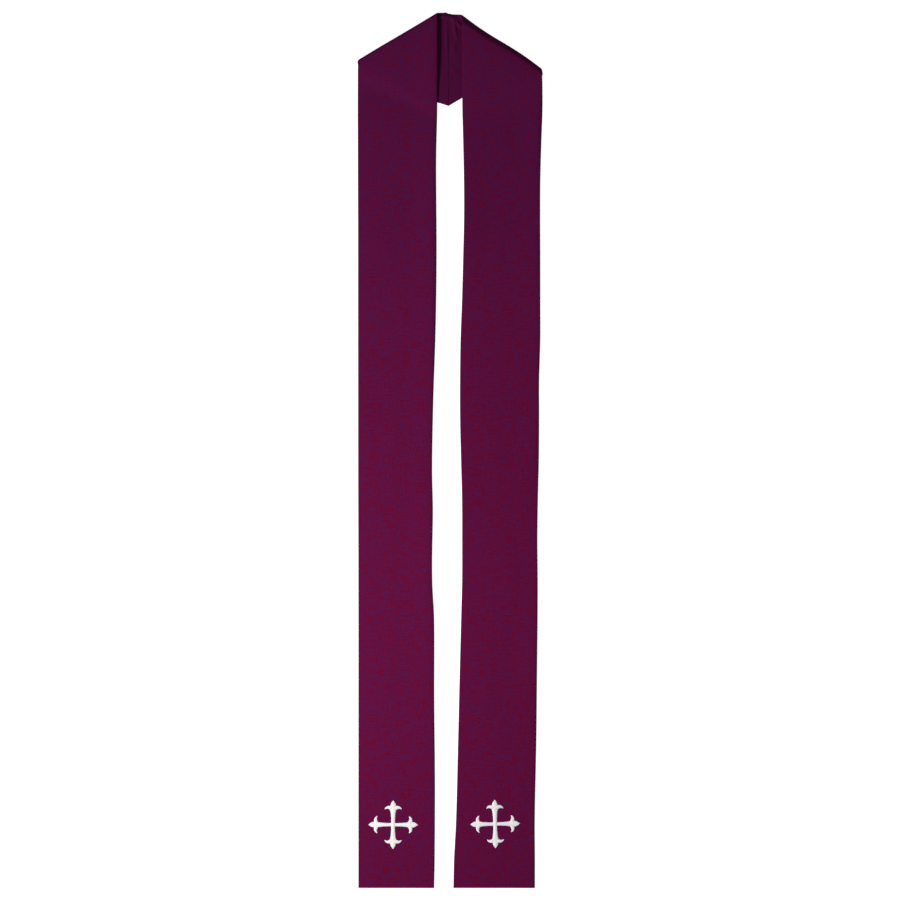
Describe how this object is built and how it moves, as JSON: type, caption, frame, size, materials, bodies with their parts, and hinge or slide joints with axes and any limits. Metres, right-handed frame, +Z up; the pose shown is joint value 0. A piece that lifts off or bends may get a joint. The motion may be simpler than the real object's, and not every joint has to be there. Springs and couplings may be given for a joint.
{
  "type": "clergy stole",
  "caption": "Long lined stole laid flat, mitred at the back of the neck and folded over at the shoulders, with an embroidered fleury cross near each hem; worn over vestments.",
  "frame": {"origin": "on the surface the stole lies on, under the middle of its outline as seen from above", "axes": "+Y from the hems to the back of the neck, +Z up from the surface, +X to the right as seen from above"},
  "size_m": [0.2795, 1.3234, 0.0141],
  "materials": {
    "face_cloth": "matt plum plain weave with fine slubs",
    "lining": "plum lining, smoother and a little darker",
    "embroidery": "white satin stitch with a soft gloss"
  },
  "bodies": {
    "root": {"left_front": "face_cloth", "left_back": "face_cloth", "right_front": "face_cloth", "right_back": "face_cloth", "left_front_lining": "lining", "left_back_lining": "lining", "right_front_lining": "lining", "right_back_lining": "lining", "left_cross": "embroidery", "right_cross": "embroidery"}
  },
  "joints": []
}
